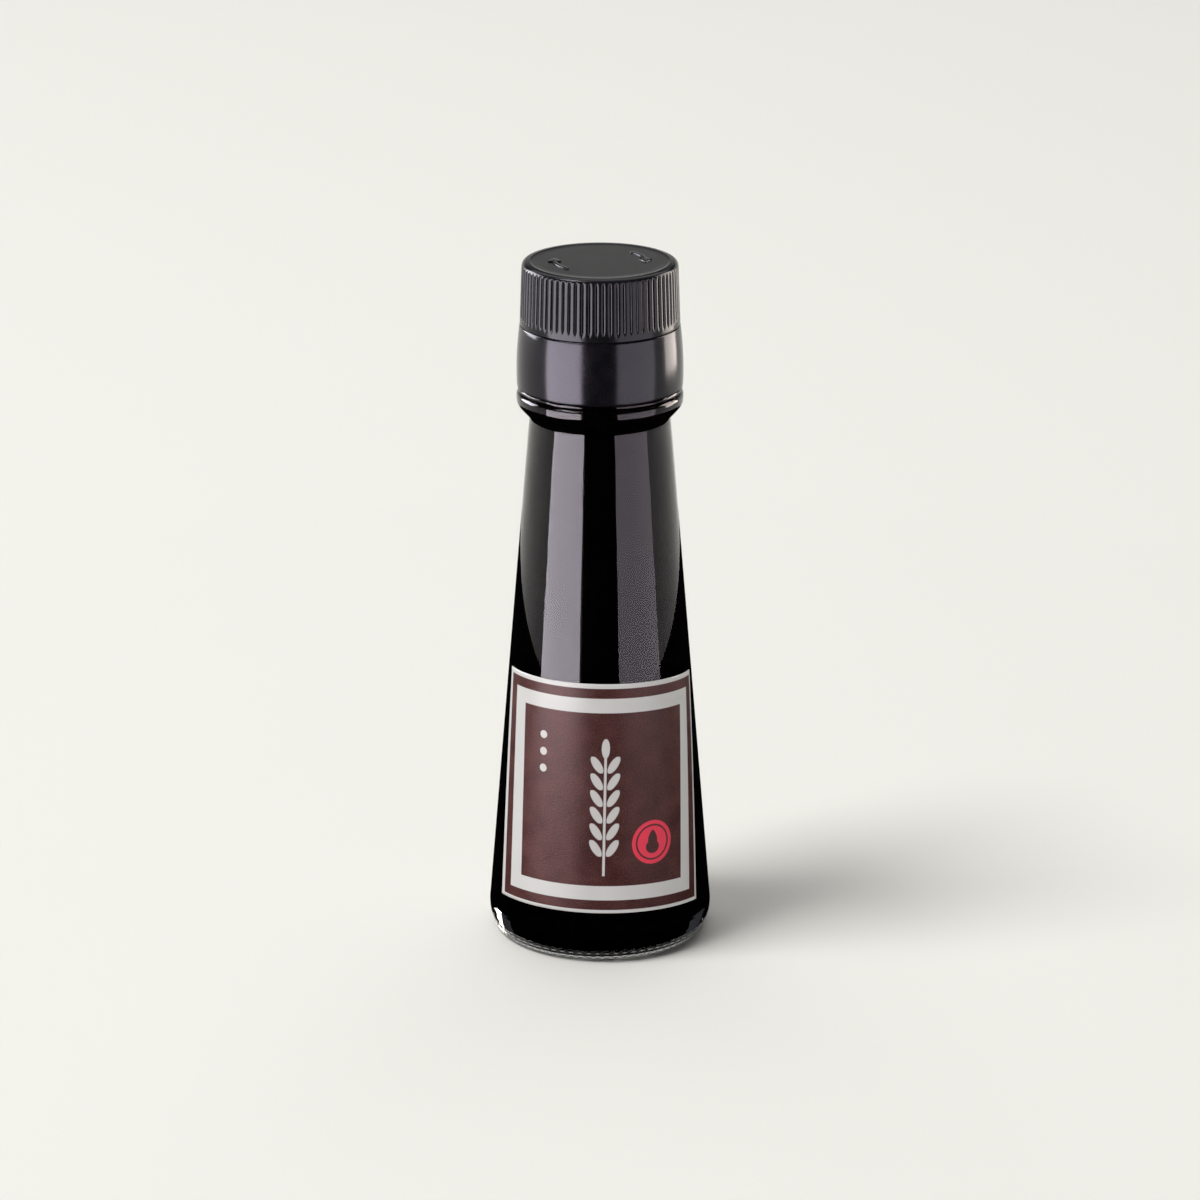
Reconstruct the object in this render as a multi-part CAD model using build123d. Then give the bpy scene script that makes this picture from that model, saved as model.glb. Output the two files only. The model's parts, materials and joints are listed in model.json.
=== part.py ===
from build123d import *
import os
from math import atan2, cos, degrees, hypot, radians, sin, sqrt

# Sauce bottle with a shut screw cap. All sizes are millimetres.
# The origin is the middle of the base, +Z is up, and the front label faces -Y.

# Tapered glass body, outside
body_height = 112.9            # table to the top of the tapered side
body_top_radius = 14.55        # where the side meets the neck
body_foot_radius = 23.97       # the side's line carried down to the table
heel_height = 5.85             # height of the rounded heel
bearing_radius = 20.8          # outer radius of the flat ring that it stands on
bearing_width = 3.2            # width of that ring
push_up = 1.3                  # rise of the hollow under the base

# Glass neck, outside
bead_radius = 17.2             # big rounded bead at the foot of the neck
bead_flank = 2.95              # height of the sloping flank under the bead
bead_height = 2.6              # flank to the top of the bead
bead_flank_round = 2.0
bead_top_round = 0.9
flank_foot_round = 0.8
groove_radius = 16.0           # narrow groove between the bead and the seat ring
groove_height = 0.15
seat_radius = 16.97            # thin ring that the collar sits on
seat_height = 0.9
seat_round = 0.35
finish_radius = 14.2           # glass tube inside the collar

# Glass thickness and the sauce
side_wall = 2.3
floor_thickness = 4.0
inner_corner_round = 5.0
neck_wall = 2.2
throat_height = 2.5            # height over which the inside narrows to the neck
fill_above_edge = 1.5          # top of the sauce above the collar's lower edge, hidden by it

# Pouring collar, smooth
collar_height = 13.0
collar_max_radius = 17.16
collar_widest = 2.9            # height of its widest place above its lower edge
collar_low_radius = 17.1
collar_top_radius = 16.5
collar_deck = 1.9              # thickness of the disc that closes the neck
collar_clearance = 0.15        # collar to the glass tube
spigot_radius = 14.6           # ring that carries the cap
spigot_wall = 1.6
spigot_height = 6.0

# Ribbed screw cap
cap_height = 13.1
cap_low_radius = 16.46
cap_top_radius = 16.0
cap_edge_round = 1.0
cap_top_thickness = 1.8
cap_clearance = 0.15           # cap to the spigot
rib_count = 72
rib_start = 1.7                # plain band under the ribs
rib_stop = 0.9                 # plain edge above the ribs
groove_cut_radius = 0.45
groove_cut_depth = 0.32

# Two turning arrows on the cap
arrow_radius = 9.3
arrow_width = 0.9
arrow_sweep = 42.0             # degrees along each arc
arrow_start = 6.0              # degrees, where the first arc begins
arrow_head = 1.5               # half width of the head
arrow_rise = 0.2

# Front label, a straight-cut rectangle wrapped round the taper
label_width = 49.9
label_height = 49.4
label_middle = 36.0            # height of its middle above the table
label_thickness = 0.12
label_tilt = 1.1               # degrees, its right end sits lower

taper = (body_foot_radius - body_top_radius) / body_height
side_angle = degrees(atan2(body_foot_radius - body_top_radius, body_height))


def side_radius(height):
    """Outside radius of the tapered side at a height."""
    return body_foot_radius - taper * height


def turned(*edges):
    """Solid turned round +Z from edges drawn as (radius, height) that close on the axis."""
    outline = make_face(Wire(list(edges)))
    return revolve(Plane.XZ * outline, Axis.Z)


def dome(radius, rise):
    """Arc from (radius, 0) to the axis at the given rise, level where it meets the axis."""
    sphere = (radius ** 2 + rise ** 2) / (2 * rise)
    half = radius / 2
    return ThreePointArc((radius, 0), (half, sqrt(sphere ** 2 - half ** 2) - sphere + rise), (0, rise))


flank_top = body_height + bead_flank
bead_top = flank_top + bead_height
seat_base = bead_top + groove_height
collar_base = seat_base + seat_height
collar_top = collar_base + collar_height
lip_height = collar_top - collar_deck
neck_bore = finish_radius - neck_wall
fill_level = collar_base + fill_above_edge


def cavity(top):
    """Inside of the glass from its floor up to a height in the neck."""
    foot = side_radius(floor_thickness) - side_wall
    shoulder = body_top_radius - side_wall
    wall = FilletPolyline(
        (0, floor_thickness),
        (foot, floor_thickness),
        (shoulder, body_height),
        (neck_bore, body_height + throat_height),
        (neck_bore, top),
        (0, top),
        radius=[inner_corner_round, throat_height, throat_height, 0],
    )
    return turned(*wall.edges(), Line((0, top), (0, floor_thickness)))


def glass_bottle():
    """Tapered vessel with a rounded heel, a hollow base, a neck bead and a seat ring."""
    heel_radius = side_radius(heel_height)
    ring_inside = bearing_radius - bearing_width
    heel = EllipticalCenterArc(
        (bearing_radius, heel_height), heel_radius - bearing_radius, heel_height, 270, arc_size=90
    )
    neck = FilletPolyline(
        (heel_radius, heel_height),
        (body_top_radius, body_height),
        (bead_radius, flank_top),
        (bead_radius, bead_top),
        (groove_radius, bead_top),
        (groove_radius, seat_base),
        (seat_radius, seat_base),
        (seat_radius, collar_base),
        (finish_radius, collar_base),
        (finish_radius, lip_height),
        (0, lip_height),
        radius=[flank_foot_round, bead_flank_round, bead_top_round, 0, 0, seat_round, seat_round, 0, 0],
    )
    outside = turned(
        dome(ring_inside, push_up),
        Line((ring_inside, 0), (bearing_radius, 0)),
        heel,
        *neck.edges(),
        Line((0, lip_height), (0, push_up)),
    )
    return outside - cavity(lip_height)


def soy_sauce():
    """The sauce, which fills the glass up to its level in the neck."""
    return cavity(fill_level)


def pour_collar():
    """Smooth collar on the seat ring, closed by a deck, with the ring that carries the cap."""
    bore = finish_radius + collar_clearance
    side = ThreePointArc(
        (collar_low_radius, collar_base),
        (collar_max_radius, collar_base + collar_widest),
        (collar_top_radius, collar_top),
    )
    rest = Polyline(
        (collar_top_radius, collar_top),
        (spigot_radius, collar_top),
        (spigot_radius, collar_top + spigot_height),
        (spigot_radius - spigot_wall, collar_top + spigot_height),
        (spigot_radius - spigot_wall, collar_top),
        (0, collar_top),
        (0, lip_height),
        (bore, lip_height),
        (bore, collar_base),
        (collar_low_radius, collar_base),
    )
    return turned(side, *rest.edges())


def rib_grooves():
    """Upright rounded grooves all round the cap's side, which leave the ribs between them."""
    foot = collar_top + rib_start
    head = collar_top + cap_height - rib_stop
    run = hypot(head - foot, cap_low_radius - cap_top_radius)
    lean = degrees(atan2(cap_low_radius - cap_top_radius, cap_height))
    foot_radius = cap_low_radius - (cap_low_radius - cap_top_radius) * rib_start / cap_height
    centre = foot_radius + groove_cut_radius - groove_cut_depth
    rod = Cylinder(groove_cut_radius, run, align=(Align.CENTER, Align.CENTER, Align.MIN))
    groove = Pos(centre, 0, foot) * Rot(0, -lean, 0) * rod
    return [Rot(0, 0, 360 * turn / rib_count) * groove for turn in range(rib_count)]


def polar(radius, angle):
    """Point at a radius and an angle in degrees."""
    return (radius * cos(radians(angle)), radius * sin(radians(angle)))


def turning_arrow(start):
    """Flat curved arrow that points clockwise, centred on the cap's axis."""
    outer = arrow_radius + arrow_width / 2
    inner = arrow_radius - arrow_width / 2
    band = Rot(0, 0, start) * make_face(
        Wire(
            [
                CenterArc((0, 0), outer, 0, arrow_sweep).edge(),
                Line(polar(outer, arrow_sweep), polar(inner, arrow_sweep)).edge(),
                CenterArc((0, 0), inner, 0, arrow_sweep).edge(),
                Line(polar(inner, 0), polar(outer, 0)).edge(),
            ]
        )
    )
    tip = degrees(2 * arrow_head / arrow_radius)
    head = Rot(0, 0, start) * make_face(
        Polyline(
            polar(arrow_radius + arrow_head, 0),
            polar(arrow_radius - arrow_head, 0),
            polar(arrow_radius, -tip),
            close=True,
        )
    )
    return band + head


def screw_cap():
    """Cup with a rounded top edge, a ribbed side and two raised arrows."""
    cap_top = collar_top + cap_height
    bore = spigot_radius + cap_clearance
    ceiling = cap_top - cap_top_thickness
    shell = FilletPolyline(
        (0, ceiling),
        (bore, ceiling),
        (bore, collar_top),
        (cap_low_radius, collar_top),
        (cap_top_radius, cap_top),
        (0, cap_top),
        radius=[0, 0, 0, cap_edge_round],
    )
    cap = turned(*shell.edges(), Line((0, cap_top), (0, ceiling)))
    cap -= rib_grooves()
    for start in (arrow_start, arrow_start + 180):
        cap += Pos(0, 0, cap_top) * extrude(turning_arrow(start), arrow_rise)
    return cap


def wrapped(across, up):
    """Point on the tapered side for a point of the flat label, measured from its middle."""
    lean = radians(side_angle)
    tilt = radians(label_tilt)
    flat_across = across * cos(tilt) + up * sin(tilt)
    flat_up = up * cos(tilt) - across * sin(tilt)
    reach = side_radius(label_middle) / sin(lean)
    slant = hypot(flat_across, reach - flat_up)
    turn = atan2(flat_across, reach - flat_up) / sin(lean)
    radius = slant * sin(lean)
    height = label_middle + (reach - slant) * cos(lean)
    return Vector(radius * sin(turn), -radius * cos(turn), height)


def beyond(first, second, third, size):
    """Block on the far side, seen from the label's middle, of the plane through three points."""
    outward = (second - first).cross(third - first).normalized()
    if outward.dot(wrapped(0, 0) - first) > 0:
        outward = outward * -1
    block = Box(size, size, size, align=(Align.CENTER, Align.CENTER, Align.MIN))
    return Plane(first, x_dir=second - first, z_dir=outward) * block


def tapered(offset, low, high):
    """Solid tapered plug between two heights, a little larger than the glass."""
    return turned(
        Line((0, low), (side_radius(low) + offset, low)),
        Line((side_radius(low) + offset, low), (side_radius(high) + offset, high)),
        Line((side_radius(high) + offset, high), (0, high)),
        Line((0, high), (0, low)),
    )


def front_label():
    """Thin sheet on the tapered side, cut straight on its four sides before it was wrapped."""
    low = label_middle - label_height
    high = label_middle + label_height
    sheet = tapered(label_thickness, low, high) - tapered(0, low, high)
    half_width = label_width / 2
    half_height = label_height / 2
    size = 4 * body_height
    for side in (-1, 1):
        left = wrapped(-half_width, side * half_height)
        right = wrapped(half_width, side * half_height)
        sheet -= beyond(left, right, wrapped(0, side * half_height), size)
        foot = wrapped(side * half_width, -half_height)
        head = wrapped(side * half_width, half_height)
        sheet -= beyond(foot, head, Vector(0, 0, label_middle), size)
    return sheet


os.makedirs("parts", exist_ok=True)
for piece in (glass_bottle, soy_sauce, pour_collar, screw_cap, front_label):
    export_step(piece(), "parts/" + piece.__name__ + ".step")
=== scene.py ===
import json
import math

import bpy
import numpy as np
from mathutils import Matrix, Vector

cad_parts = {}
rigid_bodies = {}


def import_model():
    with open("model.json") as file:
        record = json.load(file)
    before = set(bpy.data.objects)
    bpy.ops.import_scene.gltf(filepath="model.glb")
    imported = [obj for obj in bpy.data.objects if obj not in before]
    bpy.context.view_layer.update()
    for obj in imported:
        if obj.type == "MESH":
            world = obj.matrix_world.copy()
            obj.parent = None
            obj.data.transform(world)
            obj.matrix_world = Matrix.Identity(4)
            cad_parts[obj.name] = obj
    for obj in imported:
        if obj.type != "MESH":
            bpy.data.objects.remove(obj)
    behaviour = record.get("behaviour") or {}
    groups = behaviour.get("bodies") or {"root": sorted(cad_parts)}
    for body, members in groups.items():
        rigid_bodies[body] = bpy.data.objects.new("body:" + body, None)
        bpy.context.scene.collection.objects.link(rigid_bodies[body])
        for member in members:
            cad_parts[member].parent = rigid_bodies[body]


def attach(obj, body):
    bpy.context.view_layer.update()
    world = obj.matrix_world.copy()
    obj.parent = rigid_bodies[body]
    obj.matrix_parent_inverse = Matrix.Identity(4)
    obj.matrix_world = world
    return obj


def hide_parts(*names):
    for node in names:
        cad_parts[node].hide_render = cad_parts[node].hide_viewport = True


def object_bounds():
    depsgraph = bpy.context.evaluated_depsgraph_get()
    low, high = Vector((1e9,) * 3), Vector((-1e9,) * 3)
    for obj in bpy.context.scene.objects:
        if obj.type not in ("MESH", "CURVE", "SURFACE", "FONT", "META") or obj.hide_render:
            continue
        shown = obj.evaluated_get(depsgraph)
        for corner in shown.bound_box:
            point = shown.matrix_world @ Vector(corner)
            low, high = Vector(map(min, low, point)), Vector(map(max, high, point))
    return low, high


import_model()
mm = 0.001
cadBox = [list(corner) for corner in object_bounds()]
print("frame loaded, box", cadBox)


# Meshes

def ringMesh(name, rings, startPole=False, endPole=False):
    # rings[i, j] is point j of closed ring i; each ring joins the next, and a pole is one point
    count, around = rings.shape[:2]
    first = 1 if startPole else 0
    last = count - 1 if endPole else count
    body = rings[first:last].reshape(-1, 3)
    points = [body]
    if startPole:
        points.append(rings[0].mean(axis=0)[None])
    if endPole:
        points.append(rings[-1].mean(axis=0)[None])
    rows = last - first
    here = np.arange(around)
    following = (here + 1) % around
    base = (np.arange(rows - 1) * around)[:, None]
    above = base + around
    quads = np.stack([base + here, base + following, above + following, above + here], axis=-1)
    faces = quads.reshape(-1, 4).tolist()
    pole = rows * around
    if startPole:
        faces += np.stack([np.full(around, pole), following, here], axis=-1).tolist()
        pole += 1
    if endPole:
        top = (rows - 1) * around
        faces += np.stack([top + here, top + following, np.full(around, pole)], axis=-1).tolist()
    return meshPiece(name, np.concatenate(points), faces)


def meshPiece(name, points, faces, sharpAngle=40):
    mesh = bpy.data.meshes.new(name)
    mesh.from_pydata(points.tolist(), [], faces)
    mesh.update()
    mesh.shade_smooth()
    mesh.set_sharp_from_angle(angle=math.radians(sharpAngle))
    piece = bpy.data.objects.new(name, mesh)
    bpy.context.scene.collection.objects.link(piece)
    return piece


def roundedPath(points, rounds, step=0.25):
    # a line through the points, each corner a circular arc of its own radius, runs cut about every step
    points = np.array(points, float)
    path = [points[:1]]
    for before, corner, after, size in zip(points[:-2], points[1:-1], points[2:], rounds):
        path.append(cornerArc(before, corner, after, size))
    path.append(points[-1:])
    return cutRuns(np.concatenate(path), step)


def cornerArc(before, corner, after, size):
    # arc of that radius which touches both runs that meet at the corner
    into = (before - corner) / np.linalg.norm(before - corner)
    out = (after - corner) / np.linalg.norm(after - corner)
    between = math.acos(np.clip(into @ out, -1, 1))
    if size <= 0 or between > math.radians(179):
        return corner[None]
    middle = (into + out) / np.linalg.norm(into + out)
    centre = corner + middle * size / math.sin(between / 2)
    start = corner + into * size / math.tan(between / 2) - centre
    end = corner + out * size / math.tan(between / 2) - centre
    sweep = math.pi - between
    share = np.linspace(0, 1, max(4, int(sweep * 5)))[:, None]
    return centre + (np.sin((1 - share) * sweep) * start + np.sin(share * sweep) * end) / math.sin(sweep)


def cutRuns(path, step):
    # the same line with more points on its long runs
    lengths = np.linalg.norm(np.diff(path, axis=0), axis=1)
    counts = np.maximum(1, np.ceil(lengths / step)).astype(int)
    distance = np.concatenate([[0], np.cumsum(lengths)])
    owner = np.repeat(np.arange(len(counts)), counts)
    within = np.arange(counts.sum()) - np.repeat(np.cumsum(counts) - counts, counts)
    places = np.append(distance[owner] + within / counts[owner] * lengths[owner], distance[-1])
    return np.stack([np.interp(places, distance, path[:, part]) for part in (0, 1)], axis=1)


def turnedRings(profile, around):
    # profile of (radius, height) turned about the upright axis: (r cos a, r sin a, h)
    angle = np.arange(around) / around * 2 * math.pi
    radius, height = profile[:, :1], profile[:, 1:]
    return np.stack([radius * np.cos(angle), radius * np.sin(angle), height + 0 * angle], axis=-1) * mm


def ellipseArc(centre, across, up, start, end, count):
    # points (cx + across cos a, cy + up sin a) from the start angle to the end angle
    angle = np.radians(np.linspace(start, end, count))
    return np.stack([centre[0] + across * np.cos(angle), centre[1] + up * np.sin(angle)], axis=1)


# Node building

def newGroup(name, inputs, outputs):
    tree = bpy.data.node_groups.new(name, "ShaderNodeTree")
    for label, kind, value in inputs:
        socket = tree.interface.new_socket(name=label, in_out="INPUT", socket_type=kind)
        if value is not None:
            socket.default_value = value
    for label, kind in outputs:
        tree.interface.new_socket(name=label, in_out="OUTPUT", socket_type=kind)
    return tree, tree.nodes.new("NodeGroupInput"), tree.nodes.new("NodeGroupOutput")


def setInput(tree, socket, value):
    if isinstance(value, bpy.types.NodeSocket):
        tree.links.new(value, socket)
    else:
        socket.default_value = value


def addMath(tree, operation, first, second=0.0, clamp=False, third=None):
    node = tree.nodes.new("ShaderNodeMath")
    node.operation = operation
    node.use_clamp = clamp
    setInput(tree, node.inputs[0], first)
    setInput(tree, node.inputs[1], second)
    if third is not None:
        setInput(tree, node.inputs[2], third)
    return node.outputs[0]


def addNoise(tree, vector, scale, detail=2.0, roughness=0.5, stretch=None):
    if stretch is not None:
        mapping = tree.nodes.new("ShaderNodeMapping")
        mapping.inputs["Scale"].default_value = stretch
        tree.links.new(vector, mapping.inputs["Vector"])
        vector = mapping.outputs["Vector"]
    node = tree.nodes.new("ShaderNodeTexNoise")
    tree.links.new(vector, node.inputs["Vector"])
    setInput(tree, node.inputs["Scale"], scale)
    setInput(tree, node.inputs["Detail"], detail)
    setInput(tree, node.inputs["Roughness"], roughness)
    return node.outputs["Fac"]


def addRange(tree, value, low, high, toLow, toHigh):
    node = tree.nodes.new("ShaderNodeMapRange")
    setInput(tree, node.inputs["Value"], value)
    setInput(tree, node.inputs["From Min"], low)
    setInput(tree, node.inputs["From Max"], high)
    setInput(tree, node.inputs["To Min"], toLow)
    setInput(tree, node.inputs["To Max"], toHigh)
    return node.outputs["Result"]


def addMix(tree, factor, first, second):
    node = tree.nodes.new("ShaderNodeMix")
    node.data_type = "RGBA"
    setInput(tree, node.inputs["Factor"], factor)
    setInput(tree, node.inputs["A"], first)
    setInput(tree, node.inputs["B"], second)
    return node.outputs["Result"]


def addGroup(tree, group, **values):
    node = tree.nodes.new("ShaderNodeGroup")
    node.node_tree = group
    for label, value in values.items():
        setInput(tree, node.inputs[label], value)
    return node


def newMaterial(name):
    material = bpy.data.materials.new(name)
    material.use_nodes = True
    tree = material.node_tree
    shader = tree.nodes["Principled BSDF"]
    place = tree.nodes.new("ShaderNodeTexCoord")
    return material, tree, shader, place


def addBump(tree, shader, height, distance, strength=1.0):
    node = tree.nodes.new("ShaderNodeBump")
    node.inputs["Distance"].default_value = distance
    node.inputs["Strength"].default_value = strength
    tree.links.new(height, node.inputs["Height"])
    tree.links.new(node.outputs["Normal"], shader.inputs["Normal"])
    return node


def buildGrain():
    # fine moulded grain: a small noise over a larger, slower one, as a height and as a mask
    tree, entry, outlet = newGroup(
        "fineGrain",
        [("Vector", "NodeSocketVector", None), ("Scale", "NodeSocketFloat", 4000.0),
         ("Slow", "NodeSocketFloat", 0.3)],
        [("Height", "NodeSocketFloat"), ("Mask", "NodeSocketFloat")],
    )
    fine = addNoise(tree, entry.outputs["Vector"], entry.outputs["Scale"], 2.0, 0.6)
    slowScale = addMath(tree, "MULTIPLY", entry.outputs["Scale"], 0.06)
    slow = addNoise(tree, entry.outputs["Vector"], slowScale, 3.0, 0.5)
    slowPart = addMath(tree, "MULTIPLY", slow, entry.outputs["Slow"])
    tree.links.new(addMath(tree, "ADD", fine, slowPart), outlet.inputs["Height"])
    tree.links.new(addRange(tree, slow, 0.35, 0.65, 0.0, 1.0), outlet.inputs["Mask"])
    return tree


def buildHandling():
    # rub marks: faint smears and thin hairlines, as a mask from 0 to 1
    tree, entry, outlet = newGroup(
        "handlingMarks",
        [("Vector", "NodeSocketVector", None), ("Scale", "NodeSocketFloat", 60.0),
         ("Hairlines", "NodeSocketFloat", 0.5)],
        [("Mask", "NodeSocketFloat")],
    )
    smear = addNoise(tree, entry.outputs["Vector"], entry.outputs["Scale"], 4.0, 0.6)
    smearMask = addRange(tree, smear, 0.5, 0.75, 0.0, 1.0)
    lineScale = addMath(tree, "MULTIPLY", entry.outputs["Scale"], 9.0)
    hair = addNoise(tree, entry.outputs["Vector"], lineScale, 1.0, 0.5, (1.0, 1.0, 9.0))
    centred = addMath(tree, "ABSOLUTE", addMath(tree, "SUBTRACT", hair, 0.5))
    hairMask = addRange(tree, centred, 0.0, 0.012, 1.0, 0.0)
    hairPart = addMath(tree, "MULTIPLY", hairMask, entry.outputs["Hairlines"])
    tree.links.new(addMath(tree, "ADD", smearMask, hairPart, clamp=True), outlet.inputs["Mask"])
    return tree


def buildPrintedBox():
    # 1 inside an upright rectangle, 0 outside, with a thin soft edge
    tree, entry, outlet = newGroup(
        "printedBox",
        [(label, "NodeSocketFloat", 0.0) for label in ("X", "Y", "Left", "Right", "Bottom", "Top")]
        + [("Edge", "NodeSocketFloat", 0.08)],
        [("Mask", "NodeSocketFloat")],
    )
    take = entry.outputs
    wide = addMath(tree, "MINIMUM", addMath(tree, "SUBTRACT", take["X"], take["Left"]),
                   addMath(tree, "SUBTRACT", take["Right"], take["X"]))
    high = addMath(tree, "MINIMUM", addMath(tree, "SUBTRACT", take["Y"], take["Bottom"]),
                   addMath(tree, "SUBTRACT", take["Top"], take["Y"]))
    inside = addMath(tree, "DIVIDE", addMath(tree, "MINIMUM", wide, high), take["Edge"])
    tree.links.new(addMath(tree, "ADD", inside, 0.5, clamp=True), outlet.inputs["Mask"])
    return tree


def buildPrintedOval():
    # 1 inside an oval of two half sizes, turned by an angle about its middle, 0 outside
    tree, entry, outlet = newGroup(
        "printedOval",
        [(label, "NodeSocketFloat", 0.0) for label in ("X", "Y", "MiddleX", "MiddleY")]
        + [("HalfWidth", "NodeSocketFloat", 1.0), ("HalfHeight", "NodeSocketFloat", 1.0),
           ("Turn", "NodeSocketFloat", 0.0), ("Edge", "NodeSocketFloat", 0.1)],
        [("Mask", "NodeSocketFloat")],
    )
    take = entry.outputs
    across = addMath(tree, "SUBTRACT", take["X"], take["MiddleX"])
    up = addMath(tree, "SUBTRACT", take["Y"], take["MiddleY"])
    cosine = addMath(tree, "COSINE", take["Turn"])
    sine = addMath(tree, "SINE", take["Turn"])
    along = addMath(tree, "ADD", addMath(tree, "MULTIPLY", across, cosine),
                    addMath(tree, "MULTIPLY", up, sine))
    over = addMath(tree, "SUBTRACT", addMath(tree, "MULTIPLY", up, cosine),
                   addMath(tree, "MULTIPLY", across, sine))
    shareWide = addMath(tree, "DIVIDE", addMath(tree, "ABSOLUTE", along), take["HalfWidth"])
    shareHigh = addMath(tree, "DIVIDE", addMath(tree, "ABSOLUTE", over), take["HalfHeight"])
    wide = addMath(tree, "POWER", shareWide, 2.0)
    high = addMath(tree, "POWER", shareHigh, 2.0)
    reach = addMath(tree, "SQRT", addMath(tree, "ADD", wide, high))
    depth = addMath(tree, "MULTIPLY", addMath(tree, "SUBTRACT", 1.0, reach), take["HalfWidth"])
    soft = addMath(tree, "DIVIDE", depth, take["Edge"])
    tree.links.new(addMath(tree, "ADD", soft, 0.5, clamp=True), outlet.inputs["Mask"])
    return tree


fineGrain = buildGrain()
handlingMarks = buildHandling()
printedBox = buildPrintedBox()
printedOval = buildPrintedOval()
print("shared node groups built")


# Glass bottle, millimetres

glass = {
    "bodyHeight": 112.9,
    "bodyTopRadius": 14.55,
    "bodyFootRadius": 23.97,     # the side's line carried down to the table
    "heelHeight": 5.85,
    "bearingRadius": 20.8,
    "bearingWidth": 3.2,
    "pushUp": 1.3,
    "beadRadius": 17.2,
    "flankTop": 115.85,
    "beadTop": 118.45,
    "grooveRadius": 16.0,
    "grooveTop": 118.6,
    "seatRadius": 16.97,
    "seatTop": 119.5,
    "finishRadius": 14.2,
    "lip": 130.6,
    "sideWall": 2.3,
    "floorThickness": 4.0,
    "innerCornerRound": 5.0,
    "neckBore": 12.0,
    "throatHeight": 2.5,
    # corner radii up the neck, from the side's top to the lip
    "neckRounds": (0.8, 2.0, 0.9, 0.05, 0.05, 0.3, 0.4, 0.2, 0.4),
    "around": 450,
    "undersideRings": 12,
    "heelRings": 40,
    "outsideStep": 6.0,          # longest run between two rings
    "insideStep": 2.0,
    "markCount": 75,             # moulded stipple marks round the heel's foot
    "markDepth": 0.13,
    "markHeight": 1.5,
    "markSpread": 1.1,
    "markPitch": 0.9,            # height from one row of marks to the next
    "colour": (0.97, 0.985, 0.98, 1.0),
    "ior": 1.5,
    "mirror": (0.52, 0.49, 0.54, 1.0),
    "roughness": (0.0, 0.03),
    "smearScale": 45.0,
    "hairlines": 0.15,
    "wave": 0.00002,             # height of the faint waves in the drawn glass
    "waveScale": 45.0,
    "waveStretch": (1.0, 1.0, 0.35),
}
glassTaper = (glass["bodyFootRadius"] - glass["bodyTopRadius"]) / glass["bodyHeight"]


def sideRadius(height):
    return glass["bodyFootRadius"] - glassTaper * height


def cavityProfile(top, grown=0.0):
    # inside of the glass from the middle of its floor to a height in the neck, moved out by grown
    floor = glass["floorThickness"] - grown
    inner = [
        (0, floor),
        (sideRadius(floor) - glass["sideWall"] + grown, floor),
        (glass["bodyTopRadius"] - glass["sideWall"] + grown, glass["bodyHeight"]),
        (glass["neckBore"] + grown, glass["bodyHeight"] + glass["throatHeight"]),
        (glass["neckBore"] + grown, top),
    ]
    rounds = [glass["innerCornerRound"], glass["throatHeight"], glass["throatHeight"]]
    return roundedPath(inner, rounds, glass["insideStep"])


def glassProfile():
    # outside from the middle of the base up to the lip, then back down the inside
    ringInside = glass["bearingRadius"] - glass["bearingWidth"]
    sphere = (ringInside ** 2 + glass["pushUp"] ** 2) / (2 * glass["pushUp"])
    across = np.linspace(0, ringInside, glass["undersideRings"])
    underside = np.stack([across, glass["pushUp"] - sphere + np.sqrt(sphere ** 2 - across ** 2)], axis=1)
    heelRadius = sideRadius(glass["heelHeight"])
    heel = ellipseArc((glass["bearingRadius"], glass["heelHeight"]), heelRadius - glass["bearingRadius"],
                      glass["heelHeight"], 270, 360, glass["heelRings"])
    neck = roundedPath(
        [
            (heelRadius, glass["heelHeight"]),
            (glass["bodyTopRadius"], glass["bodyHeight"]),
            (glass["beadRadius"], glass["flankTop"]),
            (glass["beadRadius"], glass["beadTop"]),
            (glass["grooveRadius"], glass["beadTop"]),
            (glass["grooveRadius"], glass["grooveTop"]),
            (glass["seatRadius"], glass["grooveTop"]),
            (glass["seatRadius"], glass["seatTop"]),
            (glass["finishRadius"], glass["seatTop"]),
            (glass["finishRadius"], glass["lip"]),
            (glass["neckBore"], glass["lip"]),
        ],
        glass["neckRounds"],
        glass["outsideStep"],
    )
    inside = cavityProfile(glass["lip"])[::-1]
    return np.concatenate([underside, heel, neck[1:], inside[1:]])


def glassPiece():
    profile = glassProfile()
    rings = turnedRings(profile, glass["around"])
    # rows of small dents at the foot of the heel: depth x cos^2 over the angle x cos^2 over the height
    angle = np.arange(glass["around"]) / glass["around"] * 2 * math.pi
    row = np.exp(-((profile[:, 1] - glass["markHeight"]) / glass["markSpread"]) ** 2)
    row = row * np.cos(math.pi * profile[:, 1] / glass["markPitch"]) ** 2
    row = row * (profile[:, 0] > glass["bearingRadius"]) * (profile[:, 1] < glass["heelHeight"])
    dent = glass["markDepth"] * row[:, None] * np.cos(angle * glass["markCount"] / 2) ** 2
    shrink = 1 - dent / np.maximum(profile[:, :1], 1.0)
    rings[..., 0] *= shrink
    rings[..., 1] *= shrink
    piece = ringMesh("glassBottle", rings, True, True)
    piece.data.materials.append(glassMaterial())
    return piece


def glassMaterial():
    material, tree, shader, place = newMaterial("clearGlass")
    shader.inputs["Base Color"].default_value = glass["colour"]
    shader.inputs["Transmission Weight"].default_value = 1.0
    shader.inputs["IOR"].default_value = glass["ior"]
    shader.inputs["Specular Tint"].default_value = glass["mirror"]
    marks = addGroup(tree, handlingMarks, Vector=place.outputs["Object"], Scale=glass["smearScale"],
                     Hairlines=glass["hairlines"])
    low, high = glass["roughness"]
    tree.links.new(addRange(tree, marks.outputs["Mask"], 0.0, 1.0, low, high), shader.inputs["Roughness"])
    wave = addNoise(tree, place.outputs["Object"], glass["waveScale"], 1.0, 0.4, glass["waveStretch"])
    addBump(tree, shader, wave, glass["wave"])
    return material


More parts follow.
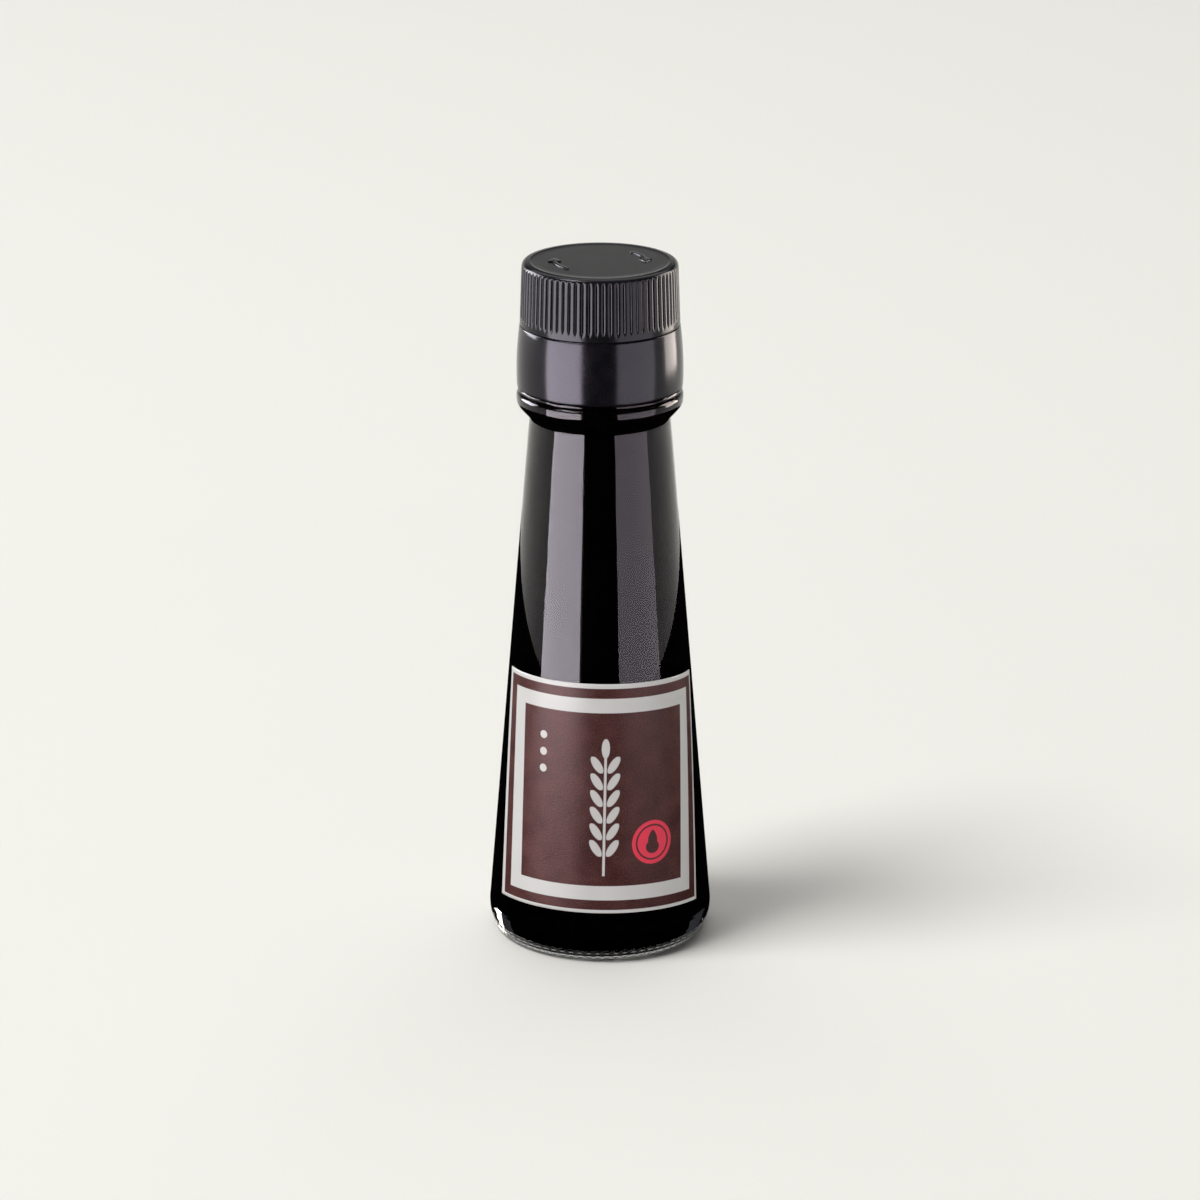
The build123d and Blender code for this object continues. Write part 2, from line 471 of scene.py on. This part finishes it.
glassBottle = glassPiece()
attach(glassBottle, "root")
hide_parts("glass_bottle")
print("glass bottle made")


# Sauce, reaching a little way into the glass so that no gap shows

sauce = {
    "level": 121.0,
    "intoGlass": 0.15,
    "around": 256,
    "topRings": 6,
    "cloudScale": 30.0,
    "deep": (0.0006, 0.0004, 0.0005, 1.0),
    "thin": (0.0018, 0.0009, 0.0009, 1.0),
    "roughness": 0.25,
    "specular": 0.0,
}


def saucePiece():
    side = cavityProfile(sauce["level"], sauce["intoGlass"])
    reach = np.linspace(side[-1, 0], 0, sauce["topRings"])
    top = np.stack([reach, np.full(len(reach), sauce["level"])], axis=1)
    profile = np.concatenate([side, top[1:]])
    piece = ringMesh("soySauce", turnedRings(profile, sauce["around"]), True, True)
    material, tree, shader, place = newMaterial("darkSauce")
    cloud = addNoise(tree, place.outputs["Object"], sauce["cloudScale"], 2.0, 0.5)
    tree.links.new(addMix(tree, cloud, sauce["deep"], sauce["thin"]), shader.inputs["Base Color"])
    shader.inputs["Roughness"].default_value = sauce["roughness"]
    shader.inputs["Specular IOR Level"].default_value = sauce["specular"]
    piece.data.materials.append(material)
    return piece


soySauce = saucePiece()
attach(soySauce, "root")
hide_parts("soy_sauce")
print("sauce made")


# Pouring collar, millimetres

collar = {
    "base": 119.5,
    "top": 132.5,
    "lowRadius": 17.1,
    "widestRadius": 17.16,
    "widest": 2.9,
    "topRadius": 16.5,
    "lowEdge": 0.22,
    "topEdge": 0.3,
    "bore": 14.35,
    "deckUnder": 130.6,
    "spigotRadius": 14.6,
    "spigotWall": 1.6,
    "spigotTop": 138.5,
    "underRounds": (0.3, 0.15),  # corner radii under the deck, from the axis outwards
    "overRounds": (0.3, 0.4, 0.4, 0.3),
    "around": 288,
    "sideRings": 24,
    "edgeRings": 6,
    "step": 3.0,                 # longest run between two rings elsewhere
    "colour": (0.004, 0.004, 0.006, 1.0),
    "paler": (0.008, 0.007, 0.010, 1.0),
    "roughness": (0.16, 0.24),
    "specular": 0.26,
    "sheenTint": (0.90, 0.86, 1.0, 1.0),
    "grain": 0.0000015,
    "grainScale": 5000.0,
    "smearScale": 70.0,
}


def collarProfile():
    # closed outline of the collar, from the axis under the deck, round its skirt and over the spigot
    height = np.linspace(collar["base"], collar["top"], collar["sideRings"])
    known = [collar["base"], collar["base"] + collar["widest"], collar["top"]]
    curve = np.polyfit(known, [collar["lowRadius"], collar["widestRadius"], collar["topRadius"]], 2)
    side = np.stack([np.polyval(curve, height), height], axis=1)
    # the two outer edges are turned in by a quarter round
    low, high, turns = collar["lowEdge"], collar["topEdge"], collar["edgeRings"]
    lowRound = ellipseArc((side[0, 0] - low, side[0, 1] + low), low, low, 270, 360, turns)
    highRound = ellipseArc((side[-1, 0] - high, side[-1, 1] - high), high, high, 0, 90, turns)
    under = [
        (0, collar["deckUnder"]),
        (collar["bore"], collar["deckUnder"]),
        (collar["bore"], collar["base"]),
        tuple(lowRound[0]),
    ]
    spigotInside = collar["spigotRadius"] - collar["spigotWall"]
    over = [
        tuple(highRound[-1]),
        (collar["spigotRadius"], collar["top"]),
        (collar["spigotRadius"], collar["spigotTop"]),
        (spigotInside, collar["spigotTop"]),
        (spigotInside, collar["top"]),
        (0, collar["top"]),
    ]
    start = roundedPath(under, collar["underRounds"], collar["step"])
    end = roundedPath(over, collar["overRounds"], collar["step"])
    middle = side[(side[:, 1] > collar["base"] + low) & (side[:, 1] < collar["top"] - high)]
    return np.concatenate([start[:-1], lowRound, middle, highRound, end[1:]])


def blackPlastic(name, part, wornBy=None):
    # dark moulded plastic: fine grain as bump, rub marks and worn places as roughness
    material, tree, shader, place = newMaterial(name)
    spot = place.outputs["Object"]
    grain = addGroup(tree, fineGrain, Vector=spot, Scale=part["grainScale"], Slow=0.4)
    marks = addGroup(tree, handlingMarks, Vector=spot, Scale=part["smearScale"], Hairlines=0.5)
    tree.links.new(addMix(tree, grain.outputs["Mask"], part["colour"], part["paler"]),
                   shader.inputs["Base Color"])
    low, high = part["roughness"]
    rough = addRange(tree, marks.outputs["Mask"], 0.0, 1.0, low, high)
    if wornBy is not None:
        attribute = tree.nodes.new("ShaderNodeAttribute")
        attribute.attribute_name = wornBy
        polish = addMath(tree, "MULTIPLY", attribute.outputs["Fac"], part["polish"])
        rough = addMath(tree, "SUBTRACT", rough, polish)
    tree.links.new(rough, shader.inputs["Roughness"])
    shader.inputs["IOR"].default_value = 1.5
    shader.inputs["Specular IOR Level"].default_value = part["specular"]
    shader.inputs["Specular Tint"].default_value = part["sheenTint"]
    addBump(tree, shader, grain.outputs["Height"], part["grain"])
    return material


pourCollar = ringMesh("pourCollar", turnedRings(collarProfile(), collar["around"]), True, True)
pourCollar.data.materials.append(blackPlastic("collarPlastic", collar))
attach(pourCollar, "root")
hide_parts("pour_collar")
print("collar made")


# Ribbed screw cap, millimetres

cap = {
    "base": 132.5,
    "height": 13.1,
    "lowRadius": 16.46,
    "topRadius": 16.0,
    "lowEdge": 0.28,
    "edgeRound": 1.0,
    "crestWidth": 1.1,           # faint raised crest just inside the rounded edge
    "crestRise": 0.07,
    "ceiling": 1.8,
    "ceilingRound": 0.5,
    "mouthRound": 0.2,
    "bore": 14.75,
    "step": 0.45,                # longest run between two rings
    "ridgeRings": 9,
    "faceRings": 10,
    "ribs": 72,
    "columnsPerRib": 10,
    "ribDepth": 0.42,
    "ribShape": 0.36,            # lower is a broader rib and a narrower gap
    "ribStart": 1.55,
    "ribStop": 0.75,
    "ribFade": 0.5,
    "ribInset": 0.6,             # the ribs are cut only this far outside the bore
    "colour": (0.005, 0.005, 0.006, 1.0),
    "paler": (0.010, 0.010, 0.012, 1.0),
    "roughness": (0.17, 0.26),
    "specular": 0.19,
    "sheenTint": (0.92, 0.89, 1.0, 1.0),
    "grain": 0.000003,
    "grainScale": 4200.0,
    "smearScale": 90.0,
    "polish": 0.06,              # how much smoother the worn rib tips are
}


def capProfile():
    # cup outline from the axis under the ceiling, down the bore, up the side and over the top
    top = cap["base"] + cap["height"]
    crest = np.linspace(1, 0, cap["ridgeRings"])
    inner = cap["topRadius"] - cap["edgeRound"]
    outline = [
        (0, top - cap["ceiling"]),
        (cap["bore"], top - cap["ceiling"]),
        (cap["bore"], cap["base"]),
        (cap["lowRadius"], cap["base"]),
        (cap["topRadius"], top - cap["crestRise"]),
        (inner, top - cap["crestRise"]),
    ]
    rounds = [cap["ceilingRound"], cap["mouthRound"], cap["lowEdge"], cap["edgeRound"]]
    shell = roundedPath(outline, rounds, cap["step"])
    ridge = np.stack([
        inner - (1 - crest) * cap["crestWidth"],
        top - cap["crestRise"] * (1 - np.sin(np.pi * crest) ** 2),
    ], axis=1)
    reach = np.linspace(inner - cap["crestWidth"], 0, cap["faceRings"])
    face = np.stack([reach, np.full(len(reach), top - cap["crestRise"])], axis=1)
    return np.concatenate([shell, ridge[1:], face[1:]])


def capPiece():
    profile = capProfile()
    around = cap["ribs"] * cap["columnsPerRib"]
    rings = turnedRings(profile, around)
    # each rib is a rounded crest |cos|; the gap between two is a sharp valley, faded out at both ends
    angle = np.arange(around) / around * 2 * math.pi
    valley = 1 - np.abs(np.cos(angle * cap["ribs"] / 2)) ** cap["ribShape"]
    low = cap["base"] + cap["ribStart"]
    high = cap["base"] + cap["height"] - cap["ribStop"]
    fadeIn = np.clip((profile[:, 1] - low) / cap["ribFade"], 0, 1)
    fadeOut = np.clip((high - profile[:, 1]) / cap["ribFade"], 0, 1)
    mask = np.sqrt(fadeIn) * np.sqrt(fadeOut) * (profile[:, 0] > cap["bore"] + cap["ribInset"])
    cut = cap["ribDepth"] * mask[:, None] * valley
    shrink = 1 - cut / np.maximum(profile[:, :1], 1.0)
    rings[..., 0] *= shrink
    rings[..., 1] *= shrink
    piece = ringMesh("screwCap", rings, True, True)
    worn = (mask[:, None] * (1 - valley) ** 3)[1:-1].ravel()
    attribute = piece.data.attributes.new("ribTip", "FLOAT", "POINT")
    attribute.data.foreach_set("value", np.append(worn, [0, 0]).astype(np.float32))
    piece.data.materials.append(blackPlastic("capPlastic", cap, "ribTip"))
    return piece


screwCap = capPiece()
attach(screwCap, "root")
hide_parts("screw_cap")
print("cap made")


# Two raised turning arrows on the cap, millimetres and degrees

arrow = {
    "radius": 9.3,
    "width": 0.9,
    "sweep": 42.0,
    "starts": (6.0, 186.0),
    "headHalf": 1.35,
    "rise": 0.26,
    "sunk": 0.15,
    "boxiness": 0.35,            # power of the section: 1 is an oval, lower is nearer a box
    "sectionPoints": 20,
    "headRings": 12,
    "shaftRings": 30,
}


def arrowPiece(name, start):
    # a rounded ridge carried along an arc; its half width grows over the head and closes at both ends
    tip = math.degrees(2 * arrow["headHalf"] / arrow["radius"])
    head = np.linspace(0.04, 1, arrow["headRings"])
    shaft = np.linspace(0.01, 1, arrow["shaftRings"])
    turn = np.concatenate([-tip * (1 - head), arrow["sweep"] * shaft])
    endRound = np.sqrt(np.clip((1 - shaft) / 0.05, 0.004, 1))
    half = np.concatenate([arrow["headHalf"] * head, arrow["width"] / 2 * endRound])
    section = np.linspace(0, 2 * math.pi, arrow["sectionPoints"], endpoint=False)
    across = np.sign(np.cos(section)) * np.abs(np.cos(section)) ** arrow["boxiness"]
    lift = np.where(np.sin(section) > 0, np.abs(np.sin(section)) ** arrow["boxiness"] * arrow["rise"], 0)
    lift = np.where(np.sin(section) < 0, -arrow["sunk"], lift)
    radius = arrow["radius"] - half[:, None] * across
    angle = np.radians(start + turn)[:, None]
    bottom = cap["base"] + cap["height"] - cap["crestRise"]
    height = bottom + lift * np.minimum(1, half[:, None] / (arrow["width"] / 2)) ** 0.5
    rings = np.stack([radius * np.cos(angle), radius * np.sin(angle), height], axis=-1) * mm
    piece = ringMesh(name, rings, True, True)
    piece.data.materials.append(bpy.data.materials["capPlastic"])
    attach(piece, "root")
    return piece


for side, start in zip(("Right", "Left"), arrow["starts"]):
    arrowPiece("turnArrow" + side, start)
print("arrows made")


# Front label, millimetres and degrees

label = {
    "width": 49.9,
    "height": 49.4,
    "middle": 36.0,
    "thickness": 0.12,
    "tilt": 1.1,                 # its right end sits lower
    "columns": 160,
    "rows": 120,
    "outer": (1.2, 0.65, 0.7, 1.0),      # white margin at left, right, bottom, top
    "line": (2.3, 2.07, 2.1, 2.1),       # dark frame
    "band": (3.4, 2.9, 3.1, 3.1),        # white frame
    "paper": (0.70, 0.69, 0.695, 1.0),
    "ink": (0.040, 0.006, 0.006, 1.0),
    "inkPale": (0.098, 0.029, 0.026, 1.0),
    "red": (0.93, 0.04, 0.095, 1.0),
    "pale": (0.66, 0.64, 0.65, 1.0),
    "roughness": (0.33, 0.42),
    "specular": 0.24,
    "grain": 0.00004,
    "speckleScale": 3.2,
    "speckleRange": (0.55, 0.95),
}


def wrapped(across, up, lift):
    # a flat sheet rolled on the cone: its distance from the cone's tip stays, and the arc becomes a turn
    lean = math.atan2(glass["bodyFootRadius"] - glass["bodyTopRadius"], glass["bodyHeight"])
    tilt = math.radians(label["tilt"])
    flatAcross = across * math.cos(tilt) + up * math.sin(tilt)
    flatUp = up * math.cos(tilt) - across * math.sin(tilt)
    reach = sideRadius(label["middle"]) / math.sin(lean)
    slant = np.hypot(flatAcross, reach - flatUp)
    turn = np.arctan2(flatAcross, reach - flatUp) / math.sin(lean)
    radius = slant * math.sin(lean) + lift
    height = label["middle"] + (reach - slant) * math.cos(lean)
    return np.stack([radius * np.sin(turn), -radius * np.cos(turn), height], axis=-1) * mm


def labelPiece():
    # the front sheet as a grid of (across, up); Solidify gives it its thickness towards the glass
    columns, rows = label["columns"], label["rows"]
    shareAcross, shareUp = np.meshgrid(np.linspace(0, 1, columns + 1), np.linspace(0, 1, rows + 1))
    across, up = (shareAcross - 0.5) * label["width"], (shareUp - 0.5) * label["height"]
    points = wrapped(across, up, label["thickness"])
    start = (np.arange(rows)[:, None] * (columns + 1) + np.arange(columns)).reshape(-1, 1)
    faces = start + np.array([0, 1, columns + 2, columns + 1])
    piece = meshPiece("frontLabel", points.reshape(-1, 3), faces.tolist(), 60)
    corner = faces.ravel()
    layer = piece.data.uv_layers.new(name="labelPlace")
    flat = np.stack([shareAcross.ravel()[corner], shareUp.ravel()[corner]], axis=-1)
    layer.data.foreach_set("uv", flat.ravel().astype(np.float32))
    solid = piece.modifiers.new("paper", "SOLIDIFY")
    solid.thickness = label["thickness"] * mm
    solid.offset = -1.0
    piece.data.materials.append(labelMaterial())
    return piece


def frameBox(tree, x, y, inset):
    # rectangle that lies inside the label's edges by four margins: left, right, bottom, top
    group = addGroup(tree, printedBox, X=x, Y=y)
    group.inputs["Left"].default_value = -label["width"] / 2 + inset[0]
    group.inputs["Right"].default_value = label["width"] / 2 - inset[1]
    group.inputs["Bottom"].default_value = -label["height"] / 2 + inset[2]
    group.inputs["Top"].default_value = label["height"] / 2 - inset[3]
    return group.outputs["Mask"]


def boxMask(tree, x, y, left, right, bottom, top):
    group = addGroup(tree, printedBox, X=x, Y=y, Left=left, Right=right, Bottom=bottom, Top=top)
    return group.outputs["Mask"]


def ovalMask(tree, x, y, middle, half, turn=0.0):
    group = addGroup(tree, printedOval, X=x, Y=y, MiddleX=middle[0], MiddleY=middle[1],
                     HalfWidth=half[0], HalfHeight=half[1], Turn=math.radians(turn))
    return group.outputs["Mask"]


motif = {
    "earMiddle": 1.0,            # barley ear that runs up the panel
    "earFoot": -12.4,
    "grainSpacing": 3.6,
    "grainPairs": 6,
    "grainSize": (0.85, 2.1),
    "grainTurn": -32.0,
    "grainOut": 1.75,            # middle of a grain from the stem
    "earHalf": 6.0,
    "tipLift": 1.7,              # middle of the top grain above the others
    "stemHalf": 0.27,
    "stemBelow": 4.2,
    "sealMiddle": (11.6, -9.8),  # red round seal
    "sealRadius": 4.7,
    "sealRing": (0.82, 0.74),    # bare ring, as shares of the radius
    "dropSide": (2.1, 0.3),      # middles of the two circles whose overlap is the drop's point
    "dropSideRadius": 3.2,
    "dropFoot": 1.0,
    "dropFootHalf": (1.55, 1.45),
    "dotLeft": -12.6,            # small dots, upper left
    "dotSpacing": 3.6,
    "dotCount": 3,
    "dotRadius": 0.85,
    "dotRoom": 3.0,
    "dotTop": 14.6,
}


def repeated(tree, value, start, spacing):
    # the value counted from a start, over again in each cell of one spacing
    return addMath(tree, "WRAP", addMath(tree, "SUBTRACT", value, start), spacing, third=0.0)


def addEar(tree, x, y):
    # pairs of turned grains on a stem, mirrored about it, with one grain on top
    earX = addMath(tree, "ABSOLUTE", addMath(tree, "SUBTRACT", x, motif["earMiddle"]))
    foot, spacing = motif["earFoot"], motif["grainSpacing"]
    earTop = foot + spacing * motif["grainPairs"]
    cell = repeated(tree, y, foot, spacing)
    grain = ovalMask(tree, earX, cell, (motif["grainOut"], spacing / 2), motif["grainSize"],
                     motif["grainTurn"])
    ear = addMath(tree, "MULTIPLY", grain, boxMask(tree, earX, y, -1.0, motif["earHalf"], foot, earTop))
    tipGrain = ovalMask(tree, earX, y, (0.0, earTop + motif["tipLift"]), motif["grainSize"])
    stem = boxMask(tree, earX, y, -1.0, motif["stemHalf"], foot - motif["stemBelow"], earTop)
    return addMath(tree, "MAXIMUM", ear, addMath(tree, "MAXIMUM", tipGrain, stem))


def addDots(tree, x, y):
    spacing, left, top = motif["dotSpacing"], motif["dotLeft"], motif["dotTop"]
    size = (motif["dotRadius"], motif["dotRadius"])
    dot = ovalMask(tree, x, repeated(tree, y, top, spacing), (left, spacing / 2), size)
    span = boxMask(tree, x, y, left - motif["dotRoom"], left + motif["dotRoom"],
                   top - spacing * motif["dotCount"], top)
    return addMath(tree, "MULTIPLY", dot, span)


def addSeal(tree, x, y):
    # a round seal with a bare ring and a bare drop: two circles' overlap joined to an oval at its foot
    middle, radius = motif["sealMiddle"], motif["sealRadius"]
    seal, ringOut, ringIn = [ovalMask(tree, x, y, middle, (radius * share, radius * share))
                             for share in (1.0, *motif["sealRing"])]
    aside, lift = motif["dropSide"]
    size = (motif["dropSideRadius"], motif["dropSideRadius"])
    lensLeft = ovalMask(tree, x, y, (middle[0] - aside, middle[1] + lift), size)
    lensRight = ovalMask(tree, x, y, (middle[0] + aside, middle[1] + lift), size)
    foot = ovalMask(tree, x, y, (middle[0], middle[1] - motif["dropFoot"]), motif["dropFootHalf"])
    drop = addMath(tree, "MAXIMUM", addMath(tree, "MULTIPLY", lensLeft, lensRight), foot)
    bare = addMath(tree, "MAXIMUM", addMath(tree, "SUBTRACT", ringOut, ringIn, clamp=True), drop)
    return addMath(tree, "SUBTRACT", seal, bare, clamp=True)


def labelMaterial():
    material, tree, shader, place = newMaterial("labelPaper")
    flat = tree.nodes.new("ShaderNodeMapping")
    flat.inputs["Location"].default_value = (-label["width"] / 2, -label["height"] / 2, 0)
    flat.inputs["Scale"].default_value = (label["width"], label["height"], 1)
    tree.links.new(place.outputs["UV"], flat.inputs["Vector"])
    axes = tree.nodes.new("ShaderNodeSeparateXYZ")
    tree.links.new(flat.outputs["Vector"], axes.inputs["Vector"])
    x, y = axes.outputs["X"], axes.outputs["Y"]
    outer = np.array(label["outer"])
    line = outer + np.array(label["line"])
    band = line + np.array(label["band"])
    wholeBox, lineBox, panelBox = [frameBox(tree, x, y, inset.tolist()) for inset in (outer, line, band)]
    frameInk = addMath(tree, "SUBTRACT", wholeBox, lineBox)
    inkMask = addMath(tree, "ADD", frameInk, panelBox, clamp=True)
    pale = addMath(tree, "MAXIMUM", addEar(tree, x, y), addDots(tree, x, y))
    red = addSeal(tree, x, y)
    grain = addGroup(tree, fineGrain, Vector=flat.outputs["Vector"], Scale=label["speckleScale"], Slow=0.5)
    speckle = addRange(tree, grain.outputs["Height"], *label["speckleRange"], 0.0, 1.0)
    ink = addMix(tree, speckle, label["ink"], label["inkPale"])
    printed = addMix(tree, red, addMix(tree, pale, ink, label["pale"]), label["red"])
    tree.links.new(addMix(tree, inkMask, label["paper"], printed), shader.inputs["Base Color"])
    low, high = label["roughness"]
    tree.links.new(addRange(tree, grain.outputs["Mask"], 0.0, 1.0, low, high), shader.inputs["Roughness"])
    shader.inputs["Specular IOR Level"].default_value = label["specular"]
    addBump(tree, shader, grain.outputs["Height"], label["grain"])
    return material


frontLabel = labelPiece()
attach(frontLabel, "root")
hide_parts("front_label")
print("label made")


# Floor, light and camera, metres and degrees

stage = {
    "floorRadius": 2.3,
    "floorAround": 64,
    "floorColour": (0.80, 0.795, 0.765, 1.0),
    "background": (0.863, 0.855, 0.814, 1.0),
    "ceiling": (0.03, 0.03, 0.034, 1.0),     # the dark room above the pale surroundings
    "fadeFrom": 0.12,            # sine of the elevation where the pale part starts to fade
    "fadeTo": 0.31,
}

camera = {
    "distance": 0.9447,
    "elevation": 18.73,
    "aimHeight": 0.0725,
    "lens": 135.6,
    "sensor": 36,
}

# azimuth is to the left of the camera as the bottle sees it; bright is a panel's brightness in gloss,
# and soft is its brightness on everything else
panels = {
    "leftPanel": {"azimuth": 51, "distance": 0.25, "foot": 0.0, "span": (0.244, 0.178), "bright": 11.5,
                  "soft": 2.3, "throughGlass": False, "colour": (1.0, 0.95, 1.0)},
    "rightPanel": {"azimuth": -51, "distance": 0.25, "foot": 0.0, "span": (0.266, 0.178), "bright": 2.4,
                   "soft": 0.7, "throughGlass": True, "colour": (1.0, 0.94, 1.0)},
    "leftRim": {"azimuth": 117, "distance": 0.5, "foot": 0.10, "span": (0.30, 0.35), "bright": 15.0,
                "soft": 0.5, "throughGlass": False, "colour": (0.97, 0.96, 1.0)},
    "rightRim": {"azimuth": -114, "distance": 0.30, "foot": 0.051, "span": (0.155, 0.30), "bright": 9.0,
                 "soft": 0.3, "throughGlass": True, "colour": (1.0, 0.90, 0.80)},
}

# these two also light the floor
roomLamps = {
    "keyLight": {"azimuth": 68, "elevation": 61, "distance": 4.0, "size": 1.6, "radiance": 16.2,
                 "colour": (1.0, 0.995, 0.97)},
    "topLight": {"azimuth": 180, "elevation": 62, "distance": 4.5, "size": 5.0, "radiance": 1.42,
                 "colour": (1.0, 0.995, 0.97)},
}

# painted dark reflection: a black card in front, seen in reflections only, keeps the middle of the glass
# dark, and a black mat round the foot, also seen in reflections only, keeps the pale floor out of the
# reflections
flag = {
    "distance": 0.25,
    "halfWidth": 0.105,
    "height": 0.30,
    "colour": (0.004, 0.004, 0.006, 1.0),
    "matInside": 0.0245,
    "matOutside": 0.30,
    "matLift": 0.0004,
    "matAround": 96,
}


def faceAt(thing, place, aim):
    thing.location = place
    thing.rotation_euler = (Vector(aim) - Vector(place)).to_track_quat("-Z", "Y").to_euler()


def addPanel(name, place, aim, size, radiance, colour):
    # a soft panel: power is radiance x pi x area
    lamp = bpy.data.lights.new(name, "AREA")
    lamp.shape = "RECTANGLE"
    lamp.size, lamp.size_y = size
    lamp.energy = radiance * math.pi * size[0] * size[1]
    lamp.color = colour
    holder = bpy.data.objects.new(name, lamp)
    bpy.context.scene.collection.objects.link(holder)
    faceAt(holder, place, aim)
    holder.visible_camera = False
    return holder


def around(azimuth, distance, height):
    turn = math.radians(azimuth)
    return (-distance * math.sin(turn), -distance * math.cos(turn), height)


# the near panels light the bottle only, so that the floor stays even
lit = bpy.data.collections.new("bottleParts")
for piece in list(bpy.context.scene.objects):
    if piece.type == "MESH":
        lit.objects.link(piece)
for name, part in panels.items():
    middle = part["foot"] + part["span"][1] / 2
    place = around(part["azimuth"], part["distance"], middle)
    glossLamp = addPanel(name, place, (0, 0, middle), part["span"], part["bright"], part["colour"])
    glossLamp.visible_diffuse = False
    glossLamp.visible_transmission = part["throughGlass"]
    softLamp = addPanel(name + "Soft", place, (0, 0, middle), part["span"], part["soft"], part["colour"])
    softLamp.visible_glossy = False
    softLamp.visible_transmission = False
    glossLamp.light_linking.receiver_collection = lit
    softLamp.light_linking.receiver_collection = lit
for name, part in roomLamps.items():
    rise = math.radians(part["elevation"])
    place = around(part["azimuth"], part["distance"] * math.cos(rise), part["distance"] * math.sin(rise))
    addPanel(name, place, (0, 0, 0), (part["size"], part["size"]), part["radiance"], part["colour"])


def hideCard(piece, material):
    # a card is seen in reflections only, where its black is a painted dark reflection
    piece.data.materials.append(material)
    piece.visible_camera = False
    piece.visible_diffuse = False
    piece.visible_transmission = False
    piece.visible_shadow = False


# black sheets that no camera, lamp or diffuse ray sees: they paint dark reflections on the glass, collar
# and cap
def flagPieces():
    wide, high, y = flag["halfWidth"], flag["height"], -flag["distance"]
    corners = np.array([(-wide, y, 0), (-wide, y, high), (wide, y, high), (wide, y, 0)])
    card = meshPiece("darkReflectionFlag", corners, [(0, 1, 2, 3)])
    # the mat is a flat ring: two circles at one height
    angle = np.linspace(0, 2 * math.pi, flag["matAround"], endpoint=False)
    level = np.full(len(angle), cadBox[0][2] + flag["matLift"])
    rings = np.stack([np.stack([radius * np.cos(angle), radius * np.sin(angle), level], axis=-1)
                      for radius in (flag["matOutside"], flag["matInside"])])
    mat = ringMesh("darkReflectionMat", rings)
    # the black of these cards is a painted dark reflection, not a thing in the scene
    material, tree, shader, place = newMaterial("darkReflectionCard")
    felt = addNoise(tree, place.outputs["Object"], 900.0, 2.0, 0.6)
    tree.links.new(addMix(tree, felt, flag["colour"], (0.0, 0.0, 0.0, 1.0)), shader.inputs["Base Color"])
    shader.inputs["Roughness"].default_value = 1.0
    shader.inputs["Specular IOR Level"].default_value = 0.0
    hideCard(card, material)
    hideCard(mat, material)


def floorPiece():
    radius = np.concatenate([[0], np.geomspace(0.1, stage["floorRadius"], 10)])[::-1]
    angle = np.linspace(0, 2 * math.pi, stage["floorAround"], endpoint=False)
    low = cadBox[0][2]
    rings = np.stack([radius[:, None] * np.cos(angle), radius[:, None] * np.sin(angle),
                      np.full((len(radius), len(angle)), low)], axis=-1)
    piece = ringMesh("floor", rings, endPole=True)
    material, tree, shader, place = newMaterial("paleFloor")
    cloud = addNoise(tree, place.outputs["Object"], 3.0, 2.0, 0.5)
    colour = stage["floorColour"]
    paler = tuple(min(1.0, part * 1.01) for part in colour[:3]) + (1.0,)
    tree.links.new(addMix(tree, cloud, colour, paler), shader.inputs["Base Color"])
    shader.inputs["Roughness"].default_value = 0.9
    shader.inputs["Specular IOR Level"].default_value = 0.1
    piece.data.materials.append(material)


def lightWorld():
    # pale surroundings near the horizon that fade to a dark room above, the same for every kind of ray
    world = bpy.data.worlds.new("room")
    world.use_nodes = True
    bpy.context.scene.world = world
    tree = world.node_tree
    direction = tree.nodes.new("ShaderNodeTexCoord")
    axes = tree.nodes.new("ShaderNodeSeparateXYZ")
    tree.links.new(direction.outputs["Generated"], axes.inputs["Vector"])
    fade = addRange(tree, axes.outputs["Z"], stage["fadeFrom"], stage["fadeTo"], 0.0, 1.0)
    surroundings = addMix(tree, fade, stage["background"], stage["ceiling"])
    tree.links.new(surroundings, tree.nodes["Background"].inputs["Color"])


floorPiece()
flagPieces()
lightWorld()

lens = bpy.data.cameras.new("camera")
lens.lens = camera["lens"]
lens.sensor_width = camera["sensor"]
viewer = bpy.data.objects.new("camera", lens)
bpy.context.scene.collection.objects.link(viewer)
rise = math.radians(camera["elevation"])
aim = (0, 0, camera["aimHeight"])
back, up = camera["distance"] * math.cos(rise), camera["distance"] * math.sin(rise)
faceAt(viewer, (0, -back, aim[2] + up), aim)
bpy.context.scene.camera = viewer
bpy.context.scene.view_settings.view_transform = "Standard"
print("stage, lamps and camera placed")
